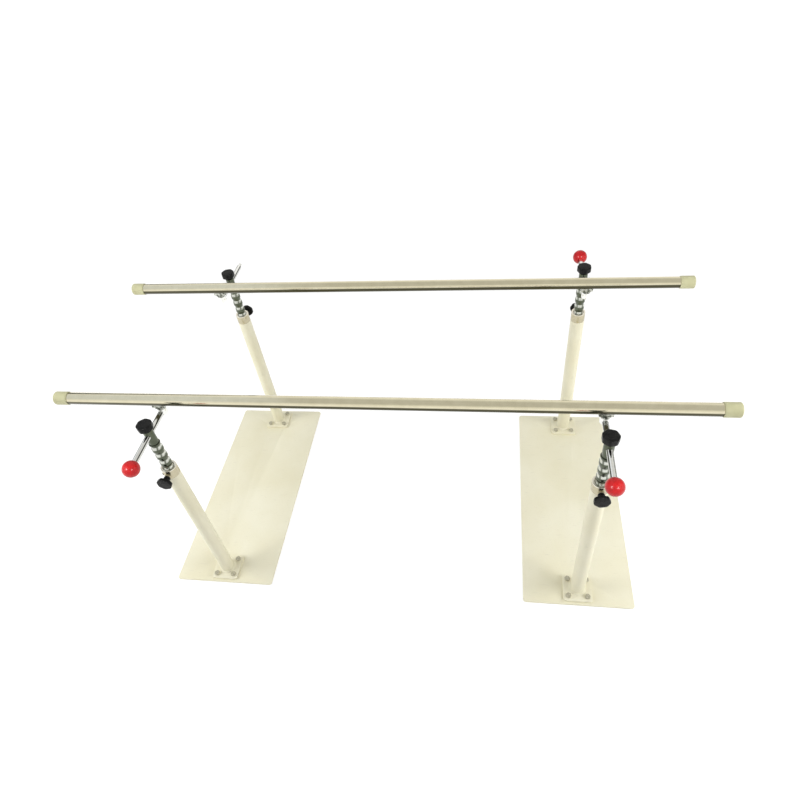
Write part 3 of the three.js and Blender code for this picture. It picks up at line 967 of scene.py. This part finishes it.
def rail_cap():
    """Cap from its open lip to its closed end."""
    bore = RAIL_RADIUS + SEAT_GAP
    inner = CAP_LENGTH - CAP_END
    profile = rounded([(0, inner), (bore, inner), (bore, 0, CAP_BORE_EDGE),
                       (CAP_RADIUS - CAP_LIP_TAPER, 0, CAP_LIP_EDGE),
                       (CAP_RADIUS, CAP_LIP_LENGTH, CAP_LIP_ROUND), (CAP_RADIUS, CAP_LENGTH, CAP_ROUND),
                       (0, CAP_LENGTH)], steps=8)
    return lathe("rail_cap", profile, FINE)


def rail_bracket():
    """Saddle under the rail. Its own origin is on the rod's axis, under the rail."""
    foot = EYE_TOP + BRACKET_BOSS
    base = foot - JOIN_DEPTH
    half = BRACKET_LENGTH / 2
    waist = BRACKET_WAIST / 2
    shoulder = ROD_DROP - RAIL_RADIUS - SEAT_GAP - BRACKET_CHEEK / 2
    flare = []
    for k in range(1, FLARE_STEPS + 1):
        t = k / FLARE_STEPS
        x = (1 - t) ** 2 * waist + 2 * t * (1 - t) * waist + t * t * half
        z = (1 - t) ** 2 * base + 2 * t * (1 - t) * shoulder + t * t * shoulder
        flare.append((x, z))
    outline = [(-waist, base), (waist, base), *flare, (half, ROD_DROP), (-half, ROD_DROP)]
    outline += [(-x, z) for x, z in reversed(flare)]
    block = slab("rail_bracket", outline, -BRACKET_WIDTH / 2, BRACKET_WIDTH / 2)
    moved(block, Matrix.Rotation(math.pi / 2, 4, "X"))
    space = along_x(rod_between("space", RAIL_RADIUS + SEAT_GAP, -BRACKET_LENGTH, BRACKET_LENGTH, FINE))
    combine(block, [shifted(space, 0, 0, ROD_DROP)], "DIFFERENCE")
    soften(block, BRACKET_EDGE, angle=35)
    boss = rod_between("boss", EYE_RADIUS, EYE_TOP + BEARING_GAP, foot, ROUND, BOSS_EDGE)
    pin = rod_between("pin", PIN_RADIUS, -EYE_TOP, EYE_TOP + JOIN_DEPTH, SMALL, PIN_EDGE)
    return combine(block, [boss, pin], "UNION")


def collar_screw():
    """Small button-head screw. Its own Z points out of the collar."""
    profile = rounded([(0, -BUTTON_SINK), (BUTTON_RADIUS, -BUTTON_SINK),
                       (BUTTON_RADIUS, BUTTON_SIDE, BUTTON_SIDE_EDGE),
                       (BUTTON_CROWN_RADIUS, BUTTON_CROWN, BUTTON_CROWN_EDGE),
                       (SOCKET_RADIUS, BUTTON_TOP, SOCKET_EDGE),
                       (SOCKET_RADIUS - SOCKET_TAPER, SOCKET_FLOOR), (0, SOCKET_FLOOR)], steps=4)
    return lathe("collar_screw", profile, SMALL)


shapes = {
    "base_plate": finish_mesh(base_plate(), LOOKS["cream_paint"]),
    "post": finish_mesh(post(), LOOKS["cream_paint"]),
    "flange_bolt": finish_mesh(flange_bolt(), LOOKS["bolt_steel"]),
    "guide_collar": finish_mesh(guide_collar(), LOOKS["collar_steel"]),
    "mast": finish_mesh(mast(), LOOKS["mast_chrome"]),
    "clamp_head": finish_mesh(clamp_head(), LOOKS["mast_chrome"]),
    "width_rod": finish_mesh(width_rod(), LOOKS["chrome"]),
    "ball_grip": finish_mesh(ball_grip(), LOOKS["grip_plastic"]),
    "clamp_knob": finish_mesh(star_knob(CLAMP_STUD, CLAMP_HUB, CLAMP_STAR), LOOKS["knob_plastic"]),
    "lock_knob": finish_mesh(star_knob(LOCK_STUD, LOCK_HUB, LOCK_STAR), LOOKS["knob_plastic"]),
    "clamp_screw": finish_mesh(knob_screw(CLAMP_STUD + JOIN_DEPTH), LOOKS["bolt_steel"]),
    "lock_screw": finish_mesh(knob_screw(LOCK_STUD + JOIN_DEPTH), LOOKS["bolt_steel"]),
    "rail": finish_mesh(rail(), LOOKS["rail_steel"]),
    "rail_cap": finish_mesh(rail_cap(), LOOKS["cap_plastic"]),
    "rail_bracket": finish_mesh(rail_bracket(), LOOKS["bracket_chrome"]),
    "collar_screw": finish_mesh(collar_screw(), LOOKS["screw_steel"]),
}


# The pieces in their places

def at(x, y, z):
    return Matrix.Translation((x * MM, y * MM, z * MM))


def put(shape, name, node, matrix, stands_for=True):
    """One piece at its place. It rides with its CAD node's body, and mostly stands for that node."""
    piece = bpy.data.objects.new(name, shapes[shape])
    bpy.context.scene.collection.objects.link(piece)
    piece.matrix_world = matrix
    if stands_for:
        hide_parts(node)
    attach(piece, node_body[node])


OUTWARD = Matrix.Rotation(math.pi / 2, 4, "X")
LENGTHWISE = Matrix.Rotation(math.pi / 2, 4, "Y")
ROWS = (("near", -1), ("far", 1))
SIDES = (("left", -1), ("right", 1))
CORNERS = ((-1, -1), (1, -1), (1, 1), (-1, 1))


def put_bolts(column, base):
    half = BOLT_SPACING / 2
    for index, (x, y) in enumerate(CORNERS, 1):
        node = f"{column}_flange_bolt_{index}"
        spin = Matrix.Rotation(math.radians(BOLT_FIRST_TURN + BOLT_TURN_STEP * index), 4, "Z")
        place = at(x * half, y * half, PLATE_THICKNESS + FLANGE_THICKNESS) @ spin
        put("flange_bolt", f"{node}_fine", node, base @ place)


def put_column(row, across, side, along):
    """All pieces of one column. In its own frame the mast's axis is +Z and the lane lies towards +Y."""
    column = f"{row}_{side}"
    turned = Matrix.Rotation(0 if across < 0 else math.pi, 4, "Z")
    base = at(along * COLUMN_SPACING / 2, across * COLUMN_GAUGE / 2, 0) @ turned
    places = {
        "post": at(0, 0, PLATE_THICKNESS),
        "guide_collar": at(0, 0, POST_TOP),
        "mast": at(0, 0, MAST_BOTTOM),
        "clamp_head": at(0, 0, ROD_HEIGHT),
        "width_rod": at(0, 0, ROD_HEIGHT) @ OUTWARD,
        "rail_bracket": at(0, ROD_REACH, ROD_HEIGHT),
        "clamp_knob": at(0, 0, ROD_HEIGHT + ROD_RADIUS + SEAT_GAP),
        "lock_knob": at(0, -MAST_RADIUS - SLIDE_GAP, LOCK_HEIGHT) @ OUTWARD,
    }
    if column != "far_left":
        places["ball_grip"] = at(0, -GRIP_REACH, ROD_HEIGHT) @ OUTWARD
    for kind, place in places.items():
        put(kind, f"{column}_{kind}_fine", f"{column}_{kind}", base @ place)
    put("clamp_screw", f"{column}_clamp_screw", f"{column}_clamp_knob", base @ places["clamp_knob"], False)
    put("lock_screw", f"{column}_lock_screw", f"{column}_lock_knob", base @ places["lock_knob"], False)
    put_bolts(column, base)
    button_turn = Matrix.Rotation(-along * across * BUTTON_ANGLE, 4, "Z")
    button = base @ button_turn @ at(0, -POST_RADIUS, POST_TOP + BUTTON_RISE) @ OUTWARD
    put("collar_screw", f"{column}_collar_screw", f"{column}_guide_collar", button, False)


def put_rail(row, across):
    y = across * RAIL_GAUGE / 2
    put("rail", f"{row}_rail_fine", f"{row}_rail", at(0, y, RAIL_HEIGHT) @ LENGTHWISE)
    for side, along in SIDES:
        node = f"{row}_rail_cap_{side}"
        facing = Matrix.Rotation(math.pi / 2 * along, 4, "Y")
        place = at(along * (RAIL_LENGTH / 2 - CAP_LENGTH), y, RAIL_HEIGHT)
        put("rail_cap", f"{node}_fine", node, place @ facing)


for row, across in ROWS:
    for side, along in SIDES:
        put_column(row, across, side, along)
    put_rail(row, across)

for side, along in SIDES:
    node = f"base_plate_{side}"
    put("base_plate", f"{node}_fine", node, at(along * COLUMN_SPACING / 2, 0, 0))


# Floor, light and camera, in metres and radians

# Floor
FLOOR_HALF = 30
FLOOR_DROP = 0.0004
FLOOR_NEAR, FLOOR_FAR = 1.8, 5.0  # from the middle, where the floor's glow grows
FLOOR_NEAR_GLOW, FLOOR_FAR_GLOW = 0.55, 0.85
FLOOR_WHITE = 1.3
FLOOR_TONE = (0.86, 0.86, 0.85)

# Studio room, as the object's gloss shows it
ROOM_STRENGTH = 0.58  # of its light on the object
ROOM_GREY, ROOM_WHITE = (0.62, 0.615, 0.59), (0.98, 0.97, 0.94)
LEFT_GREY, LEFT_WHITE = (0.78, 0.82, 0.88), (1.0, 1.0, 1.0)
PANEL_TONE = (0.10, 0.105, 0.095)
WHITE = (1.0, 1.0, 1.0)
FRONT_WALL = (0.30, 0.62)  # radians up from the front horizon, where the white ends
BACK_WALL = (1.95, 2.6)  # radians over from the front horizon, where the white begins
LEFT_SIDE = (-0.36, -0.50)  # sideways part of a direction, from where the room turns paler
PANEL_TOP = (1.0, 1.15)  # radians down from the zenith, sideways
PANEL_BEHIND = (0.25, 0.45)  # backward part of a direction
PANEL_BESIDE = (0.35, 0.5)  # sideways part of a direction

# The photograph's own camera, from a fit to the object's points in it
PHOTO_SIDE = 800  # pixels
FOCAL_LENGTH = 605.63  # pixels
YAW, PITCH, ROLL = -0.2215, 0.7886, -0.1419
CAMERA_PLACE = (358.96, -1472.2, 2079.14)  # millimetres
SENSOR_WIDTH = 36  # millimetres
VIEW_DEPTH = 100


def floor():
    """Pale floor that takes shadows. What looks at it straight or in a mirror sees it near white."""
    corners = [(x * FLOOR_HALF, y * FLOOR_HALF, -FLOOR_DROP) for x, y in CORNERS]
    plane = new_object("studio_floor", corners, [(0, 1, 2, 3)])
    material = bpy.data.materials.new("studio_floor")
    material.use_nodes = True
    nodes = Nodes(material.node_tree)
    nodes.tree.nodes.clear()
    path = nodes.node("ShaderNodeLightPath").outputs
    mirrored = nodes.maths("MAXIMUM", path["Is Glossy Ray"], path["Is Transmission Ray"])
    seen = nodes.maths("MAXIMUM", path["Is Camera Ray"], mirrored)
    place = nodes.node("ShaderNodeTexCoord").outputs["Object"]
    distance = nodes.node("ShaderNodeVectorMath", Vector=place)
    distance.operation = "LENGTH"
    glow = nodes.fade(distance.outputs["Value"], FLOOR_NEAR, FLOOR_FAR, FLOOR_NEAR_GLOW, FLOOR_FAR_GLOW)
    plain = nodes.node("ShaderNodeBsdfDiffuse", Color=rgba(FLOOR_TONE))
    white = nodes.node("ShaderNodeEmission", Strength=FLOOR_WHITE)
    mixed = nodes.node("ShaderNodeMixShader", Fac=nodes.product(seen, glow))
    nodes.feed(mixed.inputs[1], plain.outputs[0])
    nodes.feed(mixed.inputs[2], white.outputs[0])
    nodes.node("ShaderNodeOutputMaterial", Surface=mixed.outputs[0])
    plane.data.materials.append(material)


def lamp(name, place, target, size, power, only_for=None):
    """An area lamp that mirrors don't show. One only for some pieces is seen in their gloss."""
    data = bpy.data.lights.new(name, "AREA")
    data.shape = "RECTANGLE"
    data.size, data.size_y = size
    data.energy = power
    light = bpy.data.objects.new(name, data)
    light.location = place
    light.rotation_euler = (Vector(target) - Vector(place)).to_track_quat("-Z", "Y").to_euler()
    light.visible_glossy = only_for is not None
    bpy.context.scene.collection.objects.link(light)
    if only_for:
        light.light_linking.receiver_collection = only_for


def studio_world():
    """A grey room, white low in front and over the back, paler on the left, with two dark panels behind."""
    world = bpy.data.worlds.new("studio")
    bpy.context.scene.world = world
    world.use_nodes = True
    nodes = Nodes(world.node_tree)
    way = nodes.node("ShaderNodeTexCoord").outputs["Generated"]
    x, y, z = (nodes.part_of(way, axis) for axis in "XYZ")

    # Angles over the top, from the front horizon to the back one
    from_front = nodes.maths("ARCTAN2", z, nodes.maths("MULTIPLY", y, -1.0))
    front = nodes.fade(from_front, *FRONT_WALL, 1.0, 0.0)
    back = nodes.fade(from_front, *BACK_WALL)
    white_wall = nodes.maths("MAXIMUM", front, back)
    room = nodes.blend(white_wall, ROOM_GREY, ROOM_WHITE)
    left_room = nodes.blend(white_wall, LEFT_GREY, LEFT_WHITE)
    room = nodes.blend(nodes.fade(x, *LEFT_SIDE), room, left_room)

    # Panels stand low, behind the object and away from its middle
    from_zenith = nodes.maths("ARCTAN2", nodes.size_of(x), z)
    low = nodes.fade(from_zenith, *PANEL_TOP)
    behind = nodes.fade(y, *PANEL_BEHIND)
    beside = nodes.fade(nodes.size_of(x), *PANEL_BESIDE)
    studio = nodes.blend(nodes.product(low, behind, beside), room, PANEL_TONE)

    path = nodes.node("ShaderNodeLightPath").outputs
    straight = nodes.maths("MAXIMUM", path["Is Camera Ray"], path["Is Transmission Ray"])
    seen = nodes.maths("MAXIMUM", straight, path["Is Glossy Ray"])
    background = nodes.tree.nodes["Background"]
    nodes.feed(background.inputs["Color"], nodes.blend(straight, studio, WHITE))
    nodes.feed(background.inputs["Strength"], nodes.fade(seen, 0.0, 1.0, ROOM_STRENGTH, 1.0))


def camera():
    data = bpy.data.cameras.new("camera")
    data.sensor_width = SENSOR_WIDTH
    data.lens = FOCAL_LENGTH / PHOTO_SIDE * SENSOR_WIDTH
    data.clip_end = VIEW_DEPTH
    made = bpy.data.objects.new("camera", data)
    ahead = Vector((math.sin(YAW) * math.cos(PITCH), math.cos(YAW) * math.cos(PITCH), -math.sin(PITCH)))
    right = Vector((math.cos(YAW), -math.sin(YAW), 0))
    up = right.cross(ahead)
    tilted_right = math.cos(ROLL) * right + math.sin(ROLL) * up
    tilted_up = math.cos(ROLL) * up - math.sin(ROLL) * right
    axes = Matrix((tilted_right, tilted_up, -ahead)).transposed().to_4x4()
    made.matrix_world = at(*CAMERA_PLACE) @ axes
    bpy.context.scene.collection.objects.link(made)
    bpy.context.scene.camera = made


def plastic_pieces():
    """The ball grips and knobs, for the lamps that only they mirror."""
    plastics = bpy.data.collections.new("plastics")
    for piece in bpy.context.scene.objects:
        if piece.type == "MESH" and piece.active_material in (LOOKS["grip_plastic"], LOOKS["knob_plastic"]):
            plastics.objects.link(piece)
    return plastics


floor()
studio_world()
SOFTBOX, GLINT_BOX = (1.6, 1.6), (0.9, 0.9)
OBJECT_MIDDLE, KNOB_LEVEL = (0, 0, 0.4), (0, 0, 0.8)
plastics = plastic_pieces()
lamp("left_softbox", (-2.5, -0.8, 1.5), OBJECT_MIDDLE, SOFTBOX, power=46)
lamp("right_softbox", (2.5, -0.8, 1.5), OBJECT_MIDDLE, SOFTBOX, power=44)
lamp("top_softbox", (0, 0.9, 3.6), (0, 0.2, 0), (3.0, 2.0), power=30)
lamp("left_glint", (-1.7, -2.2, 2.6), KNOB_LEVEL, GLINT_BOX, power=60, only_for=plastics)
lamp("right_glint", (1.9, -2.5, 2.6), KNOB_LEVEL, GLINT_BOX, power=60, only_for=plastics)
camera()
bpy.context.scene.view_settings.view_transform = "Standard"
